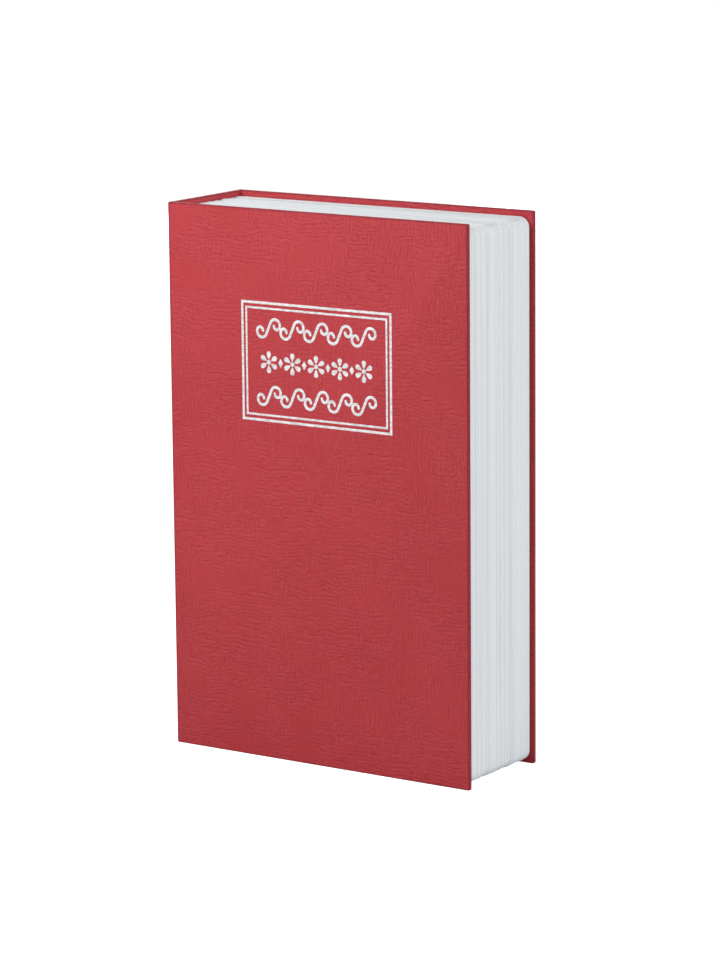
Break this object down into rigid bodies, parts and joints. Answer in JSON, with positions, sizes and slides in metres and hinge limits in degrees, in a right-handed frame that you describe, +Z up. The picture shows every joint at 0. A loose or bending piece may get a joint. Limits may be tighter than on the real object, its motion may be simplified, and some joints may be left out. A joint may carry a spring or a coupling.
{
  "type": "book diversion safe",
  "caption": "Hardcover book safe: covered boards round a ribbed page frame with a folded steel tray, hinged steel door and cam lock.",
  "frame": {"origin": "middle of the footprint, on the plane of the tail edge that the book stands on", "axes": "+Z up from tail to head, +X from spine to fore edge, +Y from front cover to back cover"},
  "size_m": [0.153, 0.054, 0.24],
  "materials": {
    "red_covering": "satin",
    "grey_board": "matte",
    "endpaper": "matte",
    "page_plastic": "matte",
    "black_steel": "satin",
    "zinc_steel": "satin",
    "lock_chrome": "polished"
  },
  "bodies": {
    "case": {"case_cloth": "red_covering", "back_cover_board": "grey_board", "back_cover_liner": "endpaper", "spine_board": "grey_board", "page_block": "page_plastic", "steel_tray": "black_steel", "tray_hinge_leaf": "zinc_steel", "hinge_pin": "zinc_steel", "tray_rivet_1": "zinc_steel", "tray_rivet_2": "zinc_steel", "tray_rivet_3": "zinc_steel", "tray_rivet_4": "zinc_steel", "tray_screw_1": "zinc_steel", "tray_screw_2": "zinc_steel", "tray_screw_3": "zinc_steel", "tray_screw_4": "zinc_steel"},
    "front_cover": {"front_cover_cloth": "red_covering", "front_cover_board": "grey_board", "front_cover_liner": "endpaper"},
    "door": {"door_panel": "black_steel", "door_hinge_leaf": "zinc_steel", "door_rivet_1": "zinc_steel", "door_rivet_2": "zinc_steel", "door_rivet_3": "zinc_steel", "door_rivet_4": "zinc_steel", "lock_body": "lock_chrome", "lock_washer": "zinc_steel", "lock_nut": "zinc_steel"},
    "lock": {"lock_plug": "lock_chrome", "lock_cam": "zinc_steel", "cam_washer": "zinc_steel", "cam_screw": "zinc_steel"}
  },
  "joints": [
    {"name": "front_cover_hinge", "type": "hinge", "parent": "case", "child": "front_cover", "pos_m": [-0.07535, -0.02715, 0.12], "axis": [0, 0, -1], "range_deg": [0, 178]},
    {"name": "door_hinge", "type": "hinge", "parent": "case", "child": "door", "pos_m": [-0.05592, -0.02113, 0.1195], "axis": [0, 0, -1], "range_deg": [0, 110]},
    {"name": "lock_plug_turn", "type": "hinge", "parent": "door", "child": "lock", "pos_m": [0.0373, -0.02, 0.1195], "axis": [0, 1, 0], "range_deg": [0, 90]}
  ],
  "couplings": [
    {"joint": "door_hinge", "follows": "front_cover_hinge", "ratio": 0.611}
  ]
}
